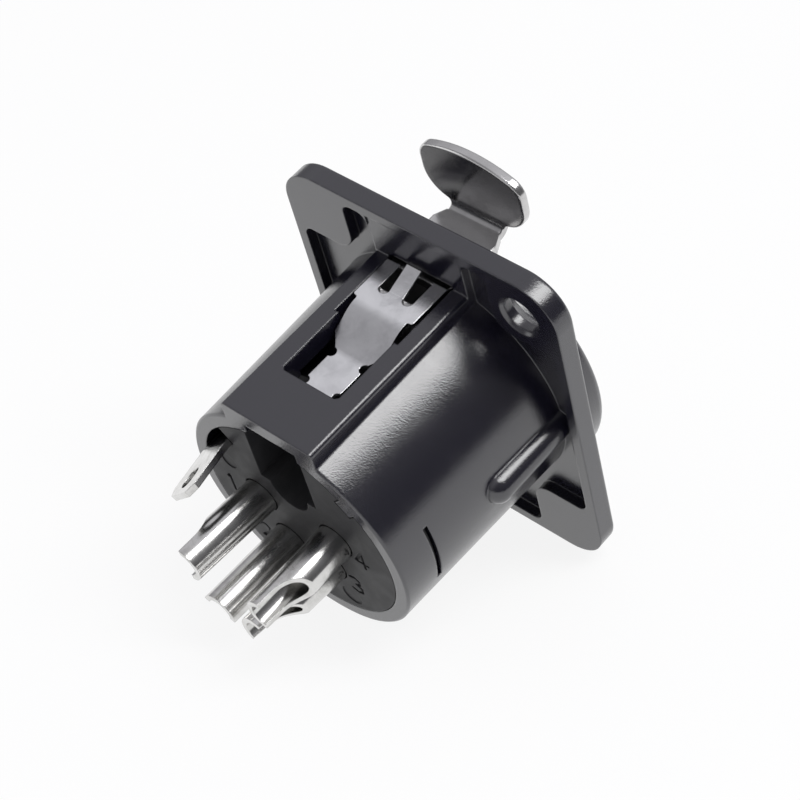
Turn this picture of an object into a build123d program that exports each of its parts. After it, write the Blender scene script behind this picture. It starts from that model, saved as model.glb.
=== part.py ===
from build123d import *
from math import atan2, cos, degrees, radians, sin, tan
import os

os.makedirs("parts", exist_ok=True)

# The bore runs along Y, the panel seat is y = 0, the mating side faces -Y and the latch is at +Z.

# Flange
flange_w = 26.0
flange_h = 31.0
flange_t = 1.8
flange_corner_r = 3.5
flange_edge_r = 0.35
hole_pitch_x = 19.0
hole_pitch_z = 24.0
hole_d = 3.2
countersink_d = 4.8
hole_break = 0.25
recess_depth = 0.87
recess_rim = 0.9
recess_corner_r = 0.9
pad_margin = 1.1
pad_corner_r = 1.8
land_drop = 0.1
fillet_share = 0.45

# Barrel and front ring
plug_bore_r = 9.6
plug_depth = 15.2
ring_wall = 2.05
ring_proj = 2.75
ring_edge_r = 0.7
lead_in = 0.8
barrel_wall = 1.13
rear_bore_r = 9.2
rear_wall = 1.17
rim_chamfer = 0.15
rib_r = 1.3
rib_proud = 0.95
rib_len = 7.7
rib_z = 0.2

# Latch housing on top of the barrel
housing_w = 8.86
housing_top = 11.0
housing_edge_r = 0.35
window_w = 5.4
window_wide_w = 6.1
window_step_y = 5.93
window_len = 12.05
window_corner = 0.25
bridge_len = 4.66
bridge_t = 1.3
bridge_groove_w = 5.0

# Latch lever, which rocks on a ridge of the flange's lower lip
lip_t = 0.3
lever_t = 0.8
lever_gap = 0.2
lever_headroom = 0.4
lever_side_gap = 0.1
ridge_r = 0.45
ridge_gap = 0.05
neck_w = 6.0
bend_w = 5.0
tail_w = 5.5
tail_len = 3.2
tail_window_w = 3.4
tail_window_y = 0.3
tail_bar = 0.7
hook_w = 3.4
hook_len = 2.0
hook_angle = 50.0
paddle_gap = 2.05
paddle_w = 9.7
paddle_low = 1.1
paddle_h = 5.9
paddle_crown_r = 10.4
paddle_corner_r = 2.6
paddle_top_corner_r = 1.6
lever_bend_r = 0.6
lever_edge_r = 0.2
lever_width_step = 0.3
neck_taper = 1.0

# Leaf spring: a flat head with three prongs, an arch down to the bridge, and a tongue under it
spring_t = 0.25
spring_gap = 0.02
spring_w = 5.7
spring_front = 0.25
spring_flat = 4.1
waist_r = 0.2
prong_slot_w = 0.95
prong_slot_x = 1.15
prong_slot_end = 3.0
prong_tip_y = 0.35
prong_rise = 0.8
prong_root = 0.3
arch_w = 4.8
arch_top_y = 4.9
arch_low_y = 7.7
arch_r = 3.5
arch_taper = 1.0
tongue_w = 3.2
tongue_y = 7.9
tongue_foot_w = 4.7
tongue_foot_gap = 0.5
tongue_foot_step = 0.4
tongue_foot_len = 2.0
nick_r = 0.4

# Contact carrier
nose_r = 7.9
nose_setback = 0.6
nose_chamfer = 0.5
carrier_gap = 0.06
lug_len = 0.25
lug_setback = 2.68
lug_w = 5.7
lug_proud = 0.95
lug_gap = 0.1
key_groove_w = 2.4
key_groove_depth = 1.3
rear_key_w = 1.5
rear_key_depth = 0.75
rear_key_angle = 135.0
rear_key_gap = 0.1
pocket_w = 5.5
pocket_floor = 3.6
pocket_round_r = 1.85
pocket_depth = 12.7
pocket_roof = 6.7
pocket_web = 1.2
number_h = 1.9
number_stroke = 0.26
number_depth = 0.15
number_places = [("1", 7.1, -0.5), ("2", 5.1, -5.2), ("3", -4.35, -4.75), ("4", -6.05, -0.15)]
number_strokes = {
    "1": [[(-0.15, 0.8), (0, 1), (0, 0)]],
    "2": [[(-0.28, 0.8), (-0.1, 1), (0.14, 1), (0.3, 0.8), (0.22, 0.55), (-0.3, 0), (0.3, 0)]],
    "3": [
        [(-0.26, 0.9), (0, 1), (0.26, 0.86), (0.2, 0.6), (0, 0.52)],
        [(0, 0.52), (0.26, 0.38), (0.24, 0.1), (0, 0), (-0.28, 0.1)],
    ],
    "4": [[(0.32, 0.3), (-0.3, 0.3), (0.12, 1), (0.12, 0)]],
}
ejector_marks = [(6.4, 2.6, 0.75), (-3.3, -7.0, 0.95)]

# Contacts: x, z, the turn of the solder cup's opening from +X towards +Z, and the cup's lean in x and z
contact_places = [
    (3.75, 0.45, -12.0, 2.2, 1.2),
    (2.0, -3.85, -75.0, 0.3, 1.0),
    (-2.0, -3.85, 208.0, 1.0, 3.0),
    (-3.75, 0.45, 180.0, -0.3, 0.0),
]
contact_r = 1.56
contact_gap = 0.03
contact_seat = 0.5
contact_socket_r = 1.22
contact_socket_len = 9.6
contact_front = 2.4
contact_slot_w = 0.4
contact_slot_len = 8.6
pin_entry_r = 1.3
cup_r = 1.5
cup_bore_r = 1.05
cup_len = 7.85
cup_bore_len = 5.4
cup_cut_r = 3.0
cup_cut_depth = 1.5
cup_cut_level = 6.4
cup_tip_depth = 1.6
cup_root = 0.6

# Ground tab: a flat plate along the bore's wall, off the middle of its flat
tab_t = 0.5
tab_w = 4.6
tab_radius = 7.56
tab_turn = 45.7
tab_shift = 1.87
tab_gap = 0.06
tab_side_gap = 0.1
tab_embed = 4.6
tab_len = 4.9
tab_lean = 8.5
tab_corner = 0.8
tab_slot_w = 1.5
tab_slot_len = 1.9
tab_slot_setback = 1.55
tab_finger_w = 2.0
tab_finger_len = 1.5
tab_finger_x = 0.6
tab_finger_gap = 0.3

# Places that follow from the sizes above
ring_r = plug_bore_r + ring_wall
ring_front = -(flange_t + ring_proj)
seat_y = ring_front + plug_depth
barrel_len = window_len + bridge_len
barrel_r = plug_bore_r + barrel_wall
rear_r = rear_bore_r + rear_wall
lip_top = plug_bore_r + lip_t
lever_low = lip_top + lever_gap
lever_top = lever_low + lever_t
bridge_under = housing_top - bridge_t
slot_w = neck_w + 2 * lever_side_gap
hinge_y = -flange_t / 2
paddle_y = ring_front - paddle_gap
carrier_r = rear_bore_r - carrier_gap
nose_front = ring_front + nose_setback
contact_front_y = nose_front + contact_front
lug_y = seat_y + lug_setback
tab_floor = tab_radius - tab_gap
beyond = 1.0


def along_y(profile, y0, y1):
    """A profile drawn in x and z, run from y0 to y1."""
    return extrude(Plane.XZ.offset(-y0) * profile, amount=y0 - y1)


def across_x(profile, width):
    """A profile drawn in y and z, run to both sides of x = 0."""
    return extrude(Plane.YZ * profile, amount=width / 2, both=True)


def round_y(radius, y0, y1, x=0.0, z=0.0):
    return along_y(Pos(x, z) * Circle(radius), y0, y1)


def block(x0, x1, y0, y1, z0, z1):
    centre = Pos((x0 + x1) / 2, (y0 + y1) / 2, (z0 + z1) / 2)
    return centre * Box(x1 - x0, y1 - y0, z1 - z0)


def turned(points):
    """A solid of revolution about the Y axis from points of radius and y."""
    return revolve(make_face(Polyline(*points, points[0])), Axis.Y)


def cone_y(radius0, y0, radius1, y1, x, z):
    return Pos(x, 0, z) * turned([(0, y0), (radius0, y0), (radius1, y1), (0, y1)])


def round_at(sketch, place, radius):
    """Round the corner of a sketch that lies nearest to the place."""
    corner = sketch.vertices().sort_by_distance(place)[0]
    return fillet(corner, radius)


def mirrored_plan(half_widths):
    """A face from points of half width and y, the same on both sides of x = 0."""
    other_side = [(-x, y) for x, y in reversed(half_widths)]
    return make_face(Polyline(*half_widths, *other_side, half_widths[0]))


def sheet(points, thickness, bend_r=0):
    """A folded sheet's section, whose upper side follows the points from left to right."""
    steps = [(Vector(*b) - Vector(*a)).normalized() for a, b in zip(points, points[1:])]
    normals = [Vector(s.Y, -s.X) for s in steps]
    lower = []
    for i, point in enumerate(points):
        before = normals[max(i - 1, 0)]
        after = normals[min(i, len(normals) - 1)]
        shift = (before + after) * (thickness / (1 + before.dot(after)))
        lower.append(tuple(Vector(*point) + shift)[:2])
    outline = list(points) + lower[::-1]
    section = make_face(Polyline(*outline, outline[0]))
    bends = points[1:-1] + lower[1:-1] if bend_r else []
    for bend in bends:
        section = round_at(section, bend, bend_r)
    return section


def mounting_holes():
    """Two countersunk holes on a diagonal, open to the front."""
    cutters = []
    for side in (-1, 1):
        x = side * hole_pitch_x / 2
        z = -side * hole_pitch_z / 2
        hole_r = hole_d / 2
        sink = countersink_d / 2 - hole_r
        cutters.append(round_y(hole_r, -flange_t, 0, x, z))
        cutters.append(cone_y(countersink_d / 2, -flange_t, hole_r, sink - flange_t, x, z))
        cutters.append(cone_y(hole_r, -hole_break, hole_r + hole_break, 0, x, z))
    return cutters


def flange():
    plate = along_y(RectangleRounded(flange_w, flange_h, flange_corner_r), -flange_t, 0)
    plate = fillet(plate.faces().sort_by(Axis.Y)[0].edges(), flange_edge_r)
    inner_w = flange_w - 2 * recess_rim
    inner_h = flange_h - 2 * recess_rim
    floor = RectangleRounded(inner_w, inner_h, flange_corner_r - recess_rim)
    pad_x = hole_pitch_x / 2 - hole_d / 2 - pad_margin
    pad_z = hole_pitch_z / 2 - hole_d / 2 - pad_margin
    pad_w = flange_w / 2 - pad_x
    pad_h = flange_h / 2 - pad_z
    # each of the two fillets on a wall is limited to its share of that wall
    run_x = fillet_share * (inner_w / 2 - pad_x)
    run_z = fillet_share * (inner_h / 2 - pad_z)
    land_r = min(recess_corner_r, fillet_share * (pad_x - housing_w / 2), run_z)
    for side_x in (-1, 1):
        for side_z in (-1, 1):
            pad = Pos(side_x * (pad_x + pad_w / 2), side_z * (pad_z + pad_h / 2)) * Rectangle(pad_w, pad_h)
            pad = round_at(pad, (side_x * pad_x, side_z * pad_z), min(pad_corner_r, run_x, run_z))
            floor -= pad
            floor = round_at(floor, (side_x * inner_w / 2, side_z * pad_z), min(recess_corner_r, run_x))
            floor = round_at(floor, (side_x * pad_x, side_z * inner_h / 2), land_r)
    land = Pos(0, inner_h / 4) * Rectangle(housing_w, inner_h / 2)
    floor -= land
    for side_x in (-1, 1):
        floor = round_at(floor, (side_x * housing_w / 2, inner_h / 2), land_r)
    return plate - along_y(floor, -recess_depth, 0) - along_y(land, -land_drop, 0)


def front_ring():
    ring = round_y(ring_r, ring_front, -flange_t / 2)
    return fillet(ring.faces().sort_by(Axis.Y)[0].edges(), ring_edge_r)


def barrel():
    return turned([
        (0, -flange_t),
        (barrel_r, -flange_t),
        (barrel_r, 0),
        (rear_r, barrel_len - rim_chamfer),
        (rear_r - rim_chamfer, barrel_len),
        (0, barrel_len),
    ])


def latch_housing():
    body = block(-housing_w / 2, housing_w / 2, -recess_depth, barrel_len, 0, housing_top)
    top_edges = body.faces().sort_by(Axis.Z)[-1].edges().filter_by(Axis.Y)
    return fillet(top_edges, housing_edge_r)


def ribs():
    out = []
    for side in (-1, 1):
        x = side * (barrel_r + rib_proud - rib_r)
        out.append(round_y(rib_r, -recess_depth, rib_len - rib_r, x, rib_z))
        out.append(Pos(x, rib_len - rib_r, rib_z) * Sphere(rib_r))
    return out


def plug_bore():
    """The bore for the plug's shell with its lead-in, and the narrower bore behind it."""
    return turned([
        (0, ring_front),
        (plug_bore_r + lead_in, ring_front),
        (plug_bore_r, ring_front + lead_in),
        (plug_bore_r, seat_y),
        (rear_bore_r, seat_y),
        (rear_bore_r, barrel_len),
        (0, barrel_len),
    ])


def housing_window():
    opening = Pos(0, window_len / 2) * Rectangle(window_w, window_len)
    for side in (-1, 1):
        corner = opening.vertices().sort_by_distance((side * window_w / 2, window_len))[0]
        opening = chamfer(corner, window_corner)
    opening += Pos(0, window_step_y / 2) * Rectangle(window_wide_w, window_step_y)
    window = extrude(opening, amount=housing_top + beyond)
    half = bridge_groove_w / 2
    under = block(-half, half, window_len - window_corner, barrel_len, 0, bridge_under)
    return window + under


def lever_slot():
    slot_top = lever_top + lever_headroom
    slot = block(-slot_w / 2, slot_w / 2, -flange_t, 0, lip_top, slot_top)
    notch_w = slot_w + 2 * lever_side_gap
    return slot, block(-notch_w / 2, notch_w / 2, ring_front, -flange_t, 0, ring_r + beyond)


def lug_windows():
    half_len = lug_len / 2 + lug_gap
    half_w = lug_w / 2 + lug_gap
    return block(-barrel_r, barrel_r, lug_y - half_len, lug_y + half_len, -half_w, half_w)


def rear_key(gap):
    """The shell's inner key, or with a gap its groove in the carrier."""
    inner = rear_bore_r - rear_key_depth - gap
    half_w = rear_key_w / 2 + gap
    bar = block(inner, rear_bore_r + rear_wall / 2, seat_y, barrel_len, -half_w, half_w)
    return Rot(Y=-rear_key_angle) * bar


def make_shell():
    body = flange() + front_ring() + barrel() + latch_housing() + ribs()
    slot, notch = lever_slot()
    body = body - plug_bore() - housing_window() - slot - notch - lug_windows() - mounting_holes()
    ridge = across_x(Pos(hinge_y, lip_top) * Circle(ridge_r), slot_w)
    ridge = ridge & block(-slot_w / 2, slot_w / 2, -flange_t, 0, lip_top - lip_t / 2, lever_top)
    return body + ridge + rear_key(0)


def carrier_cuts():
    key_half = key_groove_w / 2
    cuts = [block(-key_half, key_half, nose_front, seat_y, -nose_r, key_groove_depth - nose_r)]
    for x, z, *_ in contact_places:
        cuts.append(round_y(pin_entry_r, nose_front, contact_front_y, x, z))
        mouth_r = pin_entry_r + nose_chamfer
        cuts.append(cone_y(mouth_r, nose_front, pin_entry_r, nose_front + nose_chamfer, x, z))
        cuts.append(round_y(contact_r + contact_gap, contact_front_y, barrel_len, x, z))
    half = pocket_w / 2
    pocket_front = barrel_len - pocket_depth
    cuts.append(block(-half, half, pocket_front, barrel_len, pocket_floor, pocket_roof))
    cuts.append(block(-half, half, seat_y + pocket_web, barrel_len, pocket_floor, rear_bore_r))
    cuts.append(round_y(pocket_round_r, pocket_front, barrel_len, 0, pocket_floor))
    tab_half = tab_w / 2 + tab_side_gap
    notch_z = (-tab_shift - tab_half, tab_half - tab_shift)
    cuts.append(Rot(Y=-tab_turn) * block(tab_floor, rear_bore_r, seat_y, barrel_len, *notch_z))
    cuts.append(rear_key(rear_key_gap))
    return cuts


def number_shape(number):
    """A plain number drawn with one even stroke, centred on the origin."""
    shape = Sketch()
    for stroke in number_strokes[number]:
        points = [(x * number_h, (y - 0.5) * number_h) for x, y in stroke]
        for point in points:
            shape += Pos(*point) * Circle(number_stroke / 2)
        for a, b in zip(points, points[1:]):
            run = Vector(*b) - Vector(*a)
            middle = (Vector(*a) + Vector(*b)) * 0.5
            turn = degrees(atan2(run.Y, run.X))
            shape += Pos(middle.X, middle.Y) * Rot(Z=turn) * Rectangle(run.length, number_stroke)
    return shape


def rear_marks():
    """Sunk numbers beside the contacts, and two round ejector marks."""
    face = Plane(origin=(0, barrel_len, 0), x_dir=(-1, 0, 0), z_dir=(0, 1, 0))
    cuts = []
    for number, x, z in number_places:
        cuts.append(extrude(face * Pos(-x, z) * number_shape(number), amount=-number_depth))
    for x, z, radius in ejector_marks:
        cuts.append(round_y(radius, barrel_len - number_depth / 2, barrel_len, x, z))
    return cuts


def make_contact_carrier():
    nose = turned([
        (0, nose_front),
        (nose_r - nose_chamfer, nose_front),
        (nose_r, nose_front + nose_chamfer),
        (nose_r, seat_y),
        (carrier_r, seat_y),
        (carrier_r, barrel_len),
        (0, barrel_len),
    ])
    lug_front = lug_y - lug_len / 2
    lugs = block(-barrel_r, barrel_r, lug_front, lug_front + lug_len, -lug_w / 2, lug_w / 2)
    lugs = lugs & round_y(carrier_r + lug_proud, seat_y, barrel_len)
    body = nose + lugs
    for cut in carrier_cuts() + rear_marks():
        body -= cut
    return body


def contact_barrel():
    """The round part inside the carrier, whose slotted front end grips the plug's pin."""
    socket_end = contact_front_y + contact_socket_len
    barrel_shape = turned([
        (contact_socket_r, contact_front_y),
        (contact_r, contact_front_y),
        (contact_r, barrel_len - contact_seat),
        (0, barrel_len - contact_seat),
        (0, socket_end),
        (contact_socket_r, socket_end),
    ])
    slot_end = contact_front_y + contact_slot_len
    half = contact_slot_w / 2
    barrel_shape -= block(-contact_r, contact_r, contact_front_y, slot_end, -half, half)
    return barrel_shape - block(-half, half, contact_front_y, slot_end, -contact_r, contact_r)


def solder_cup():
    """A cup along Y from the origin, cut open on its +X side by a round cutter."""
    bore_end = cup_len - cup_bore_len
    cup = turned([
        (0, -cup_root),
        (cup_r, -cup_root),
        (cup_r, cup_len),
        (cup_bore_r, cup_len),
        (cup_bore_r, bore_end),
        (0, bore_end - cup_bore_r),
    ])
    outer = cup_r - cup_cut_depth + cup_cut_r
    cutter = Pos(outer, cup_cut_level) * Circle(cup_cut_r)
    cutter += make_face(Polyline(
        (cup_r - cup_cut_depth, cup_cut_level),
        (cup_r - cup_tip_depth, cup_len + beyond),
        (outer, cup_len + beyond),
        (outer, cup_cut_level),
        (cup_r - cup_cut_depth, cup_cut_level),
    ))
    return cup - extrude(cutter, amount=cup_r + beyond, both=True)


def make_contact(x, z, turn, lean_x, lean_z):
    cup = Rot(Z=-lean_x) * Rot(X=lean_z) * Rot(Y=-turn) * solder_cup()
    return Pos(x, 0, z) * contact_barrel() + Pos(x, barrel_len, z) * cup


def make_ground_tab():
    """A plate bent inwards behind the rear face, with a finger at its front that presses on the shell."""
    top = tab_radius + tab_t
    front = barrel_len - tab_embed
    bend = barrel_len + tab_t
    tip_y = barrel_len + tab_len
    tip_z = top - (tip_y - bend) * tan(radians(tab_lean))
    plate = across_x(sheet([(front, top), (bend, top), (tip_y, tip_z)], tab_t), tab_w)
    outline = Rectangle(tab_w, 2 * tip_y)
    for side in (-1, 1):
        corner = outline.vertices().sort_by_distance((side * tab_w / 2, tip_y))[0]
        outline = chamfer(corner, tab_corner)
    slot = Pos(0, tip_y - tab_slot_setback) * Rot(Z=90) * SlotOverall(tab_slot_len, tab_slot_w)
    plate = plate & extrude(outline - slot, amount=top + beyond)
    finger_line = [(front - tab_finger_len, rear_bore_r - tab_finger_gap), (front, top), (front + tab_t, top)]
    finger = across_x(sheet(finger_line, tab_t / 2), tab_finger_w)
    plate += Pos(tab_finger_x - tab_shift, 0, 0) * finger
    return Rot(Y=90 - tab_turn) * Pos(tab_shift, 0, 0) * plate


def paddle_outline():
    """The lever's front view: an oval paddle with a crowned top, on its neck."""
    low = lever_low + paddle_low
    top = low + paddle_h
    half = paddle_w / 2
    crown_centre = top - paddle_crown_r
    shoulder = crown_centre + (paddle_crown_r ** 2 - half ** 2) ** 0.5
    sides = Polyline((-half, shoulder), (-half, low), (half, low), (half, shoulder))
    crown = ThreePointArc((half, shoulder), (0, top), (-half, shoulder))
    oval = make_face(sides.edges() + [crown])
    for side in (-1, 1):
        oval = round_at(oval, (side * half, low), paddle_corner_r)
        oval = round_at(oval, (side * half, shoulder), paddle_top_corner_r)
    outline = oval + Pos(0, low) * Rectangle(bend_w, 2 * paddle_low + beyond)
    for side in (-1, 1):
        outline = round_at(outline, (side * bend_w / 2, low), lever_bend_r)
    return outline


def lever_side_view(high):
    """The bent strip from the side: the paddle up to the given height, the neck, the tail and the hook."""
    fold = lever_t * tan(radians(hook_angle / 2))
    end_y = tail_len + hook_len * cos(radians(hook_angle))
    end_z = lever_top - hook_len * sin(radians(hook_angle))
    corners = [
        (paddle_y - lever_t, high),
        (paddle_y, high),
        (paddle_y, lever_top),
        (tail_len, lever_top),
        (end_y, end_z),
        (end_y - lever_t * sin(radians(hook_angle)), end_z - lever_t * cos(radians(hook_angle))),
        (tail_len - fold, lever_low),
        (paddle_y - lever_t, lever_low),
    ]
    side_view = make_face(Polyline(*corners, corners[0]))
    side_view = round_at(side_view, (paddle_y, lever_top), lever_bend_r)
    side_view = round_at(side_view, (paddle_y - lever_t, lever_low), lever_bend_r + lever_t)
    side_view = round_at(side_view, (tail_len, lever_top), lever_t)
    return side_view - Pos(hinge_y, lip_top) * Circle(ridge_r + ridge_gap)


def lever_plan():
    """The lever's neck and tail from above, with the window in the tail."""
    neck_front = paddle_y + lever_bend_r
    neck_rear = -lever_width_step - lever_side_gap
    plan = mirrored_plan([
        (bend_w / 2, neck_front),
        (neck_w / 2, neck_front + neck_taper),
        (neck_w / 2, neck_rear),
        (tail_w / 2, -lever_side_gap),
        (tail_w / 2, tail_len - lever_width_step),
        (hook_w / 2, tail_len),
        (hook_w / 2, tail_len + hook_len),
    ])
    window_y = tail_len - tail_bar - tail_window_y
    return plan - Pos(0, tail_window_y + window_y / 2) * Rectangle(tail_window_w, window_y)


def make_latch_lever():
    high = lever_low + paddle_low + paddle_h + beyond
    strip = across_x(lever_side_view(high), 2 * paddle_w)
    neck = strip & extrude(lever_plan(), amount=high)
    front = strip & along_y(paddle_outline(), paddle_y - lever_t, paddle_y + lever_bend_r)
    rims = front.edges().filter_by_position(Axis.Z, lever_top + paddle_low / 2 + lever_bend_r, high)
    rims = rims.filter_by(lambda e: e.bounding_box().size.Y < lever_edge_r / 2)
    return fillet(rims, lever_edge_r) + neck


def spring_plan(foot_y, foot_end):
    """The leaf spring from above: head, arch, tongue with two nicks a side, and foot."""
    plan = mirrored_plan([
        (spring_w / 2, spring_front),
        (spring_w / 2, spring_flat),
        (arch_w / 2, spring_flat),
        (arch_w / 2, tongue_y - arch_taper),
        (tongue_w / 2, tongue_y),
        (tongue_w / 2, foot_y),
        (tongue_foot_w / 2, foot_y + tongue_foot_step),
        (tongue_foot_w / 2, foot_end),
    ])
    for side in (-1, 1):
        for width in (spring_w, arch_w):
            plan = round_at(plan, (side * width / 2, spring_flat), waist_r)
        for nick_y in (tongue_y + nick_r, window_len - 2 * nick_r):
            plan -= Pos(side * tongue_w / 2, nick_y) * Circle(nick_r)
    return plan


def make_latch_spring():
    top = lever_top + spring_gap + spring_t
    tongue_top = bridge_under
    foot_y = window_len + tongue_foot_gap
    foot_end = foot_y + tongue_foot_len
    bends = [(spring_front, top), (arch_top_y, top), (arch_low_y, tongue_top), (foot_end, tongue_top)]
    plan = spring_plan(foot_y, foot_end)
    slot_outer = prong_slot_x + prong_slot_w / 2
    slot_y = prong_slot_end - prong_slot_w / 2
    plan -= Pos(0, (spring_front + slot_y) / 2) * Rectangle(2 * slot_outer, slot_y - spring_front)
    for side in (-1, 1):
        plan -= Pos(side * prong_slot_x, slot_y) * Circle(prong_slot_w / 2)
    leaf = across_x(sheet(bends, spring_t, arch_r), spring_w) & extrude(plan, amount=top + beyond)
    prong_line = [(prong_tip_y, top + prong_rise), (slot_y, top), (slot_y + prong_root, top)]
    prong = across_x(sheet(prong_line, spring_t), 2 * prong_slot_x - prong_slot_w)
    return leaf + prong


def save(solid, node):
    export_step(solid, "parts/" + node + ".step")


save(make_shell(), "shell")
save(make_contact_carrier(), "contact_carrier")
for number, place in enumerate(contact_places, start=1):
    save(make_contact(*place), "contact_" + str(number))
save(make_ground_tab(), "ground_tab")
save(make_latch_lever(), "latch_lever")
save(make_latch_spring(), "latch_spring")
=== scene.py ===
import bpy
from mathutils import Matrix, Vector


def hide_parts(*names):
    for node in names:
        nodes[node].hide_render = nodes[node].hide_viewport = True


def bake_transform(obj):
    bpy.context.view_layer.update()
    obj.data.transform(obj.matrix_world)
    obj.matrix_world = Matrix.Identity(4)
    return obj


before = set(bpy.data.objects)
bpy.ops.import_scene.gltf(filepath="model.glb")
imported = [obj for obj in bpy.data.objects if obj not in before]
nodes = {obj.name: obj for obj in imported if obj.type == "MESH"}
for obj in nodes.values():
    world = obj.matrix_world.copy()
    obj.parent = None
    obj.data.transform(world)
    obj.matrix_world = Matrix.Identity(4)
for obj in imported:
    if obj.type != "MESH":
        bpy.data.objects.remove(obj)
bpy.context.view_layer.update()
mm = 0.001
print("socket loaded:", len(nodes), "parts")

# The socket lies on its flange's lower edge and its barrel's rear rim, and the table passes under both
table = {
    "frontPoint": (0.0, 0.0, -15.5 * mm),
    "rearPoint": (0.0, 16.7 * mm, -10.4 * mm),
    "radius": 0.6,
    "drop": 0.05 * mm,
    "color": (0.97, 0.97, 0.98, 1.0),
    "glow": 0.87,           # share of plain white, to the camera and in reflections alike
}

# The camera stands behind the socket and above its latch side
photoView = {
    "lens": 100.61,         # millimetres, as the sensor
    "sensor": 36.0,
    "place": (-0.0870, 0.06744, 0.12835),
    "right": (-0.7394, -0.6462, -0.1889),
    "up": (0.4225, -0.6638, 0.6172),
    "clip": (0.005, 10.0),
}

# A softbox above, a weaker lamp at the side, and walls that polished faces mirror: metres and watts
studio = {
    "softboxDirection": (-0.40, -0.38, 0.85),
    "softboxDistance": 0.40,
    "softboxSize": (0.135, 0.30),
    "softboxPower": 0.76,
    "sideDirection": (0.75, 0.60, 0.25),
    "sideDistance": 0.40,
    "sideSize": (0.16, 0.30),
    "sidePower": 0.16,
    "skyLight": 0.60,
    "ceiling": 0.64,
    "walls": 0.34,
    "wallTop": 0.10,        # where the walls' level ends and the ceiling's starts, 1 being straight up
    "ceilingStart": 0.75,
    # each dark wall's direction, where its dark starts and is full, and the share of light left there
    "darkWalls": [
        ((-0.93, 0.25, 0.25), (0.35, 0.80), 0.30),
        ((0.52, 0.37, 0.77), (0.78, 0.95), 0.55),
    ],
    "tint": (0.965, 0.96, 1.0),
}


def dropSelection():
    bpy.ops.object.select_all(action="DESELECT")


def tableNormal():
    run = Vector(table["rearPoint"]) - Vector(table["frontPoint"])
    return Vector((1, 0, 0)).cross(run).normalized()


def addCamera():
    right = Vector(photoView["right"]).normalized()
    up = Vector(photoView["up"])
    up = (up - right * up.dot(right)).normalized()
    back = right.cross(up)
    data = bpy.data.cameras.new("photoCamera")
    data.lens = photoView["lens"]
    data.sensor_width = photoView["sensor"]
    data.clip_start, data.clip_end = photoView["clip"]
    camera = bpy.data.objects.new("photoCamera", data)
    bpy.context.scene.collection.objects.link(camera)
    turn = Matrix((right, up, back)).transposed().to_4x4()
    camera.matrix_world = Matrix.Translation(photoView["place"]) @ turn
    bpy.context.scene.camera = camera


# Short hands for building node trees

def newMaterial(name):
    material = bpy.data.materials.new(name)
    material.use_nodes = True
    tree = material.node_tree
    tree.nodes.clear()
    return material, tree


def addNode(tree, kind, sockets=None, **settings):
    node = tree.nodes.new(kind)
    for key, value in settings.items():
        setattr(node, key, value)
    for key, value in (sockets or {}).items():
        node.inputs[key].default_value = value
    return node


def calculate(tree, operation, first, second=None, third=None):
    node = addNode(tree, "ShaderNodeMath", operation=operation)
    for place, value in enumerate((first, second, third)):
        if value is None:
            continue
        if isinstance(value, (int, float)):
            node.inputs[place].default_value = value
        else:
            tree.links.new(value, node.inputs[place])
    return node.outputs[0]


def remap(tree, value, low, high, newLow, newHigh):
    limits = {"From Min": low, "From Max": high, "To Min": newLow, "To Max": newHigh}
    node = addNode(tree, "ShaderNodeMapRange", limits, interpolation_type="SMOOTHSTEP")
    tree.links.new(value, node.inputs["Value"])
    return node.outputs["Result"]


def newGroup(name, inputs, outputs):
    group = bpy.data.node_groups.new(name, "ShaderNodeTree")
    for label, kind, value in inputs:
        socket = group.interface.new_socket(name=label, in_out="INPUT", socket_type=kind)
        socket.default_value = value
    for label, kind in outputs:
        group.interface.new_socket(name=label, in_out="OUTPUT", socket_type=kind)
    start = group.nodes.new("NodeGroupInput")
    end = group.nodes.new("NodeGroupOutput")
    return group, start, end


def placeGroup(tree, group, **sockets):
    node = addNode(tree, "ShaderNodeGroup", node_tree=group)
    for key, value in sockets.items():
        node.inputs[key].default_value = value
    return node


# Table, lamps and studio walls

def mirroredRays(tree, path):
    glossy, clear = path.outputs["Is Glossy Ray"], path.outputs["Is Transmission Ray"]
    return calculate(tree, "MAXIMUM", glossy, clear)


def paintTable():
    material, tree = newMaterial("paleTable")
    path = addNode(tree, "ShaderNodeLightPath")
    plain = addNode(tree, "ShaderNodeBsdfDiffuse", {"Color": table["color"]})
    white = addNode(tree, "ShaderNodeEmission", {"Color": (1, 1, 1, 1), "Strength": 1.0})
    # polished faces mirror the same pale table that the camera sees
    seen = calculate(tree, "MAXIMUM", path.outputs["Is Camera Ray"], mirroredRays(tree, path))
    shade = addNode(tree, "ShaderNodeMixShader")
    tree.links.new(calculate(tree, "MULTIPLY", seen, table["glow"]), shade.inputs[0])
    tree.links.new(plain.outputs[0], shade.inputs[1])
    tree.links.new(white.outputs[0], shade.inputs[2])
    # from below the table can be seen through
    clear = addNode(tree, "ShaderNodeBsdfTransparent")
    side = addNode(tree, "ShaderNodeNewGeometry")
    both = addNode(tree, "ShaderNodeMixShader")
    tree.links.new(side.outputs["Backfacing"], both.inputs[0])
    tree.links.new(shade.outputs[0], both.inputs[1])
    tree.links.new(clear.outputs[0], both.inputs[2])
    out = addNode(tree, "ShaderNodeOutputMaterial")
    tree.links.new(both.outputs[0], out.inputs["Surface"])
    return material


def addTable():
    normal = tableNormal()
    middle = (Vector(table["frontPoint"]) + Vector(table["rearPoint"])) / 2
    dropSelection()
    bpy.ops.mesh.primitive_circle_add(vertices=96, radius=table["radius"], fill_type="NGON",
                                      location=middle - normal * table["drop"])
    top = bpy.context.object
    top.name = "tableTop"
    top.rotation_mode = "QUATERNION"
    top.rotation_quaternion = Vector((0, 0, 1)).rotation_difference(normal)
    top.data.materials.append(paintTable())


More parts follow.
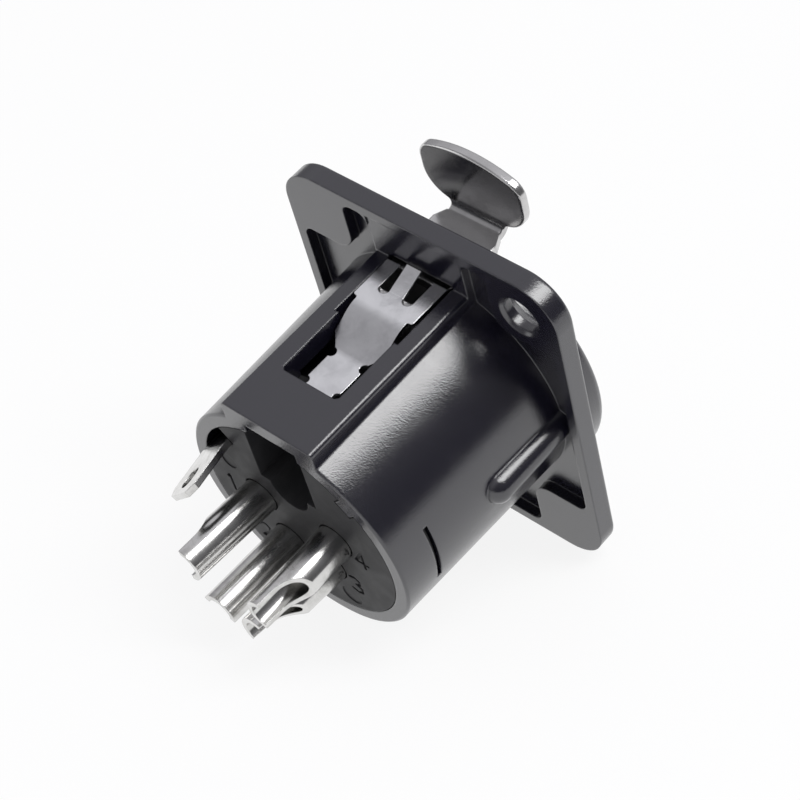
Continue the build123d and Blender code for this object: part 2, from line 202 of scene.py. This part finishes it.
def addLamp(name):
    data = bpy.data.lights.new(name, "AREA")
    data.shape = "RECTANGLE"
    data.size, data.size_y = studio[name + "Size"]
    data.energy = studio[name + "Power"]
    lamp = bpy.data.objects.new(name + "Lamp", data)
    bpy.context.scene.collection.objects.link(lamp)
    away = Vector(studio[name + "Direction"]).normalized()
    lamp.location = away * studio[name + "Distance"]
    lamp.rotation_mode = "QUATERNION"
    lamp.rotation_quaternion = away.to_track_quat("Z", "Y")


def addWalls():
    world = bpy.data.worlds.new("paleStudio")
    bpy.context.scene.world = world
    world.use_nodes = True
    tree = world.node_tree
    tree.nodes.clear()
    where = addNode(tree, "ShaderNodeTexCoord")
    height = addNode(tree, "ShaderNodeVectorMath", operation="DOT_PRODUCT")
    height.inputs[1].default_value = tableNormal()
    tree.links.new(where.outputs["Generated"], height.inputs[0])
    level = remap(tree, height.outputs["Value"], studio["wallTop"], studio["ceilingStart"],
                  studio["walls"], studio["ceiling"])
    for direction, reach, leftOver in studio["darkWalls"]:
        facing = addNode(tree, "ShaderNodeVectorMath", operation="DOT_PRODUCT")
        facing.inputs[1].default_value = Vector(direction).normalized()
        tree.links.new(where.outputs["Generated"], facing.inputs[0])
        dark = remap(tree, facing.outputs["Value"], *reach, 1.0, leftOver)
        level = calculate(tree, "MULTIPLY", level, dark)
    # soft light on everything, walls in the reflections, white behind the object
    path = addNode(tree, "ShaderNodeLightPath")
    lit = addNode(tree, "ShaderNodeMix", {"A": studio["skyLight"]}, data_type="FLOAT")
    tree.links.new(mirroredRays(tree, path), lit.inputs["Factor"])
    tree.links.new(level, lit.inputs["B"])
    seen = addNode(tree, "ShaderNodeMix", {"B": 1.0}, data_type="FLOAT")
    tree.links.new(path.outputs["Is Camera Ray"], seen.inputs["Factor"])
    tree.links.new(lit.outputs["Result"], seen.inputs["A"])
    sky = addNode(tree, "ShaderNodeBackground")
    color = blendColor(tree, path.outputs["Is Camera Ray"], studio["tint"], (1, 1, 1))
    tree.links.new(color, sky.inputs["Color"])
    tree.links.new(seen.outputs["Result"], sky.inputs["Strength"])
    out = addNode(tree, "ShaderNodeOutputWorld")
    tree.links.new(sky.outputs[0], out.inputs["Surface"])


# Effects that several finishes share
effectDetail = {
    "edgeTurn": (0.99, 0.85),   # likeness of rounded and flat normal where an edge starts and is full
    "waveShare": 0.3,           # of the slow waves in a sprayed coat, beside its grains
    "stainFade": 0.25,          # half the width of a stain's soft border
}


def softEdges():
    # rounds the shading at a sharp edge, and gives a mask of the edge itself
    group, start, end = newGroup("softEdges", [("Radius", "NodeSocketFloat", 0.0002)],
                                 [("Normal", "NodeSocketVector"), ("Edge", "NodeSocketFloat")])
    rounded = addNode(group, "ShaderNodeBevel", samples=6)
    group.links.new(start.outputs["Radius"], rounded.inputs["Radius"])
    surface = addNode(group, "ShaderNodeNewGeometry")
    same = addNode(group, "ShaderNodeVectorMath", operation="DOT_PRODUCT")
    group.links.new(rounded.outputs[0], same.inputs[0])
    group.links.new(surface.outputs["Normal"], same.inputs[1])
    group.links.new(rounded.outputs[0], end.inputs["Normal"])
    edge = remap(group, same.outputs["Value"], *effectDetail["edgeTurn"], 0.0, 1.0)
    group.links.new(edge, end.inputs["Edge"])
    return group


def sprayPeel():
    # the low waves of a sprayed coat, with fine grains on them
    group, start, end = newGroup("sprayPeel", [("Waves", "NodeSocketFloat", 2500.0),
                                               ("Grains", "NodeSocketFloat", 9000.0)],
                                 [("Height", "NodeSocketFloat")])
    place = addNode(group, "ShaderNodeTexCoord")
    layers = []
    for label, detail in (("Waves", 1.0), ("Grains", 2.0)):
        noise = addNode(group, "ShaderNodeTexNoise", {"Detail": detail, "Roughness": 0.5})
        group.links.new(place.outputs["Object"], noise.inputs["Vector"])
        group.links.new(start.outputs[label], noise.inputs["Scale"])
        layers.append(noise.outputs[0])
    height = calculate(group, "MULTIPLY_ADD", layers[0], effectDetail["waveShare"], layers[1])
    group.links.new(height, end.inputs["Height"])
    return group


def smudges():
    # slow changes over a surface: handling marks, thin spots and stains
    group, start, end = newGroup("smudges", [("Scale", "NodeSocketFloat", 300.0),
                                             ("Cover", "NodeSocketFloat", 0.5)],
                                 [("Mask", "NodeSocketFloat")])
    place = addNode(group, "ShaderNodeTexCoord")
    noise = addNode(group, "ShaderNodeTexNoise", {"Detail": 5.0, "Roughness": 0.6, "Distortion": 0.4})
    group.links.new(place.outputs["Object"], noise.inputs["Vector"])
    group.links.new(start.outputs["Scale"], noise.inputs["Scale"])
    limit = calculate(group, "SUBTRACT", 1.0, start.outputs["Cover"])
    fade = effectDetail["stainFade"]
    node = addNode(group, "ShaderNodeMapRange", interpolation_type="SMOOTHSTEP")
    group.links.new(noise.outputs[0], node.inputs["Value"])
    group.links.new(calculate(group, "SUBTRACT", limit, fade), node.inputs["From Min"])
    group.links.new(calculate(group, "ADD", limit, fade), node.inputs["From Max"])
    group.links.new(node.outputs["Result"], end.inputs["Mask"])
    return group


def drawLines():
    # fine lines of a tool or a rolling mill, close together across one direction
    group, start, end = newGroup("drawLines", [("Spacing", "NodeSocketVector", (1.0, 1.0, 1.0))],
                                 [("Lines", "NodeSocketFloat")])
    place = addNode(group, "ShaderNodeTexCoord")
    stretched = addNode(group, "ShaderNodeVectorMath", operation="MULTIPLY")
    group.links.new(place.outputs["Object"], stretched.inputs[0])
    group.links.new(start.outputs["Spacing"], stretched.inputs[1])
    noise = addNode(group, "ShaderNodeTexNoise", {"Scale": 1.0, "Detail": 3.0, "Roughness": 0.65})
    group.links.new(stretched.outputs[0], noise.inputs["Vector"])
    group.links.new(noise.outputs[0], end.inputs["Lines"])
    return group


def placeStains(tree, groups, scaleAndCover):
    scale, cover = scaleAndCover
    return placeGroup(tree, groups["smudges"], Scale=scale, Cover=cover)


def placePeel(tree, groups, scales):
    waves, grains = scales
    return placeGroup(tree, groups["sprayPeel"], Waves=waves, Grains=grains)


def blendColor(tree, mask, first, second):
    mix = addNode(tree, "ShaderNodeMix", data_type="RGBA")
    colors = [socket for socket in mix.inputs if socket.type == "RGBA"]
    colors[0].default_value = (*first, 1)
    colors[1].default_value = (*second, 1)
    tree.links.new(mask, mix.inputs["Factor"])
    return [socket for socket in mix.outputs if socket.type == "RGBA"][0]


def finishSkin(tree, skin, height, normal, depth):
    bump = addNode(tree, "ShaderNodeBump", {"Strength": 1.0, "Distance": depth})
    tree.links.new(height, bump.inputs["Height"])
    tree.links.new(normal, bump.inputs["Normal"])
    tree.links.new(bump.outputs[0], skin.inputs["Normal"])
    out = addNode(tree, "ShaderNodeOutputMaterial")
    tree.links.new(skin.outputs[0], out.inputs["Surface"])


# The die-cast shell: sprayed black lacquer, thin and rubbed on its sharpest edges
lacquer = {
    "color": (0.0085, 0.0080, 0.0150),
    "rubbed": (0.055, 0.055, 0.064),
    "ior": 1.9,
    "sheen": (0.16, 0.20),
    "edge": 0.20 * mm,
    "marks": (420.0, 0.50),         # scale and cover of the handling marks
    "thinSpots": (1500.0, 0.45),    # and of the spots where an edge is rubbed
    "peel": (1800.0, 8200.0),       # scale of the waves and of the grains
    "peelDepth": 0.011 * mm,
}


def blackLacquer(groups):
    material, tree = newMaterial("blackLacquer")
    edges = placeGroup(tree, groups["softEdges"], Radius=lacquer["edge"])
    marks = placeStains(tree, groups, lacquer["marks"])
    thin = placeStains(tree, groups, lacquer["thinSpots"])
    worn = calculate(tree, "MULTIPLY", edges.outputs["Edge"], thin.outputs["Mask"])
    skin = addNode(tree, "ShaderNodeBsdfPrincipled", {"IOR": lacquer["ior"]})
    tree.links.new(blendColor(tree, worn, lacquer["color"], lacquer["rubbed"]), skin.inputs["Base Color"])
    tree.links.new(remap(tree, marks.outputs["Mask"], 0, 1, *lacquer["sheen"]), skin.inputs["Roughness"])
    peel = placePeel(tree, groups, lacquer["peel"])
    finishSkin(tree, skin, peel.outputs["Height"], edges.outputs["Normal"], lacquer["peelDepth"])
    return material


# The contact carrier: a dull grey glass-filled moulding with flow clouds
moulding = {
    "color": (0.020, 0.020, 0.022),
    "cloud": (0.030, 0.030, 0.031),
    "ior": 1.34,
    "sheen": (0.48, 0.60),
    "edge": 0.12 * mm,
    "flow": (380.0, 0.50),
    "grain": (3500.0, 11000.0),
    "grainDepth": 0.004 * mm,
}


def greyMoulding(groups):
    material, tree = newMaterial("greyMoulding")
    edges = placeGroup(tree, groups["softEdges"], Radius=moulding["edge"])
    flow = placeStains(tree, groups, moulding["flow"])
    skin = addNode(tree, "ShaderNodeBsdfPrincipled", {"IOR": moulding["ior"]})
    tree.links.new(blendColor(tree, flow.outputs["Mask"], moulding["color"], moulding["cloud"]),
                   skin.inputs["Base Color"])
    tree.links.new(remap(tree, flow.outputs["Mask"], 0, 1, *moulding["sheen"]), skin.inputs["Roughness"])
    grain = placePeel(tree, groups, moulding["grain"])
    finishSkin(tree, skin, grain.outputs["Height"], edges.outputs["Normal"], moulding["grainDepth"])
    return material


# Metal finishes: colours, scale and cover of the stains, spacing and depth of the tool lines
silverPlate = {
    "bright": (0.70, 0.695, 0.685), "dull": (0.46, 0.455, 0.435), "sheen": (0.16, 0.29),
    "stains": (700.0, 0.36), "lines": (500.0, 9000.0, 500.0), "lineDepth": 0.0022 * mm, "edge": 0.10 * mm,
}
springSteel = {
    "bright": (0.88, 0.88, 0.90), "dull": (0.66, 0.66, 0.68), "sheen": (0.16, 0.27),
    "stains": (500.0, 0.40), "lines": (11000.0, 350.0, 3000.0), "lineDepth": 0.0022 * mm, "edge": 0.08 * mm,
}
nickelSteel = {
    "bright": (0.64, 0.635, 0.635), "dull": (0.46, 0.455, 0.455), "sheen": (0.14, 0.28),
    "stains": (350.0, 0.42), "lines": (2600.0, 3000.0, 2600.0), "lineDepth": 0.0030 * mm, "edge": 0.14 * mm,
}


def metalFinish(groups, name, metal):
    material, tree = newMaterial(name)
    edges = placeGroup(tree, groups["softEdges"], Radius=metal["edge"])
    stain = placeStains(tree, groups, metal["stains"])
    lines = placeGroup(tree, groups["drawLines"], Spacing=metal["lines"])
    skin = addNode(tree, "ShaderNodeBsdfPrincipled", {"Metallic": 1.0})
    tree.links.new(blendColor(tree, stain.outputs["Mask"], metal["bright"], metal["dull"]),
                   skin.inputs["Base Color"])
    uneven = calculate(tree, "MULTIPLY_ADD", lines.outputs["Lines"], 0.5,
                       calculate(tree, "MULTIPLY", stain.outputs["Mask"], 0.5))
    tree.links.new(remap(tree, uneven, 0.1, 0.8, *metal["sheen"]), skin.inputs["Roughness"])
    finishSkin(tree, skin, lines.outputs["Lines"], edges.outputs["Normal"], metal["lineDepth"])
    return material


# In the real socket the leaf spring's head rides up on the lever's tail and its tongue stays put; here it
# is a welded copy with its sharp corners rounded, standing in for the latch spring
leafSpring = {
    "weld": 0.0005 * mm,
    "flatWithin": 0.01,     # radians: faces this close to one plane become one
    "cornerAngle": 0.60,    # radians: a sharper corner is rounded
    "smoothAngle": 0.25,
    "cornerRound": 0.05 * mm,
    "bendStart": (0.0, 7.9 * mm, 9.9 * mm),
    "bendEnd": (0.0, 4.2 * mm, 11.1 * mm),
}


def makeLeafSpring(material):
    carried = nodes["latch_spring"]
    leaf = bpy.data.objects.new("leafSpring", carried.data.copy())
    bpy.context.scene.collection.objects.link(leaf)
    dropSelection()
    bpy.context.view_layer.objects.active = leaf
    leaf.select_set(True)
    bpy.ops.object.mode_set(mode="EDIT")
    bpy.ops.mesh.select_all(action="SELECT")
    bpy.ops.mesh.remove_doubles(threshold=leafSpring["weld"])
    bpy.ops.mesh.dissolve_limited(angle_limit=leafSpring["flatWithin"])
    bpy.ops.object.mode_set(mode="OBJECT")
    corner = leaf.modifiers.new("cornerRound", "BEVEL")
    corner.width = leafSpring["cornerRound"]
    corner.segments = 2
    corner.limit_method = "ANGLE"
    corner.angle_limit = leafSpring["cornerAngle"]
    bpy.ops.object.modifier_apply(modifier=corner.name)
    bpy.ops.object.shade_smooth_by_angle(angle=leafSpring["smoothAngle"])
    leaf.data.materials.clear()
    leaf.data.materials.append(material)
    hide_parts("latch_spring")
    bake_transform(leaf)


def dress(node, material):
    nodes[node].data.materials.clear()
    nodes[node].data.materials.append(material)


addCamera()
addTable()
for lampName in ("softbox", "side"):
    addLamp(lampName)
addWalls()
print("camera, table and lamps stand")

effects = {make.__name__: make() for make in (softEdges, sprayPeel, smudges, drawLines)}
dress("shell", blackLacquer(effects))
dress("contact_carrier", greyMoulding(effects))
silver = metalFinish(effects, "silverPlate", silverPlate)
for number in "1234":
    dress("contact_" + number, silver)
dress("ground_tab", silver)
dress("latch_lever", metalFinish(effects, "nickelSteel", nickelSteel))
print("finishes on the cast, moulded and plated parts")

makeLeafSpring(metalFinish(effects, "springSteel", springSteel))

bpy.context.scene.view_settings.view_transform = "Standard"
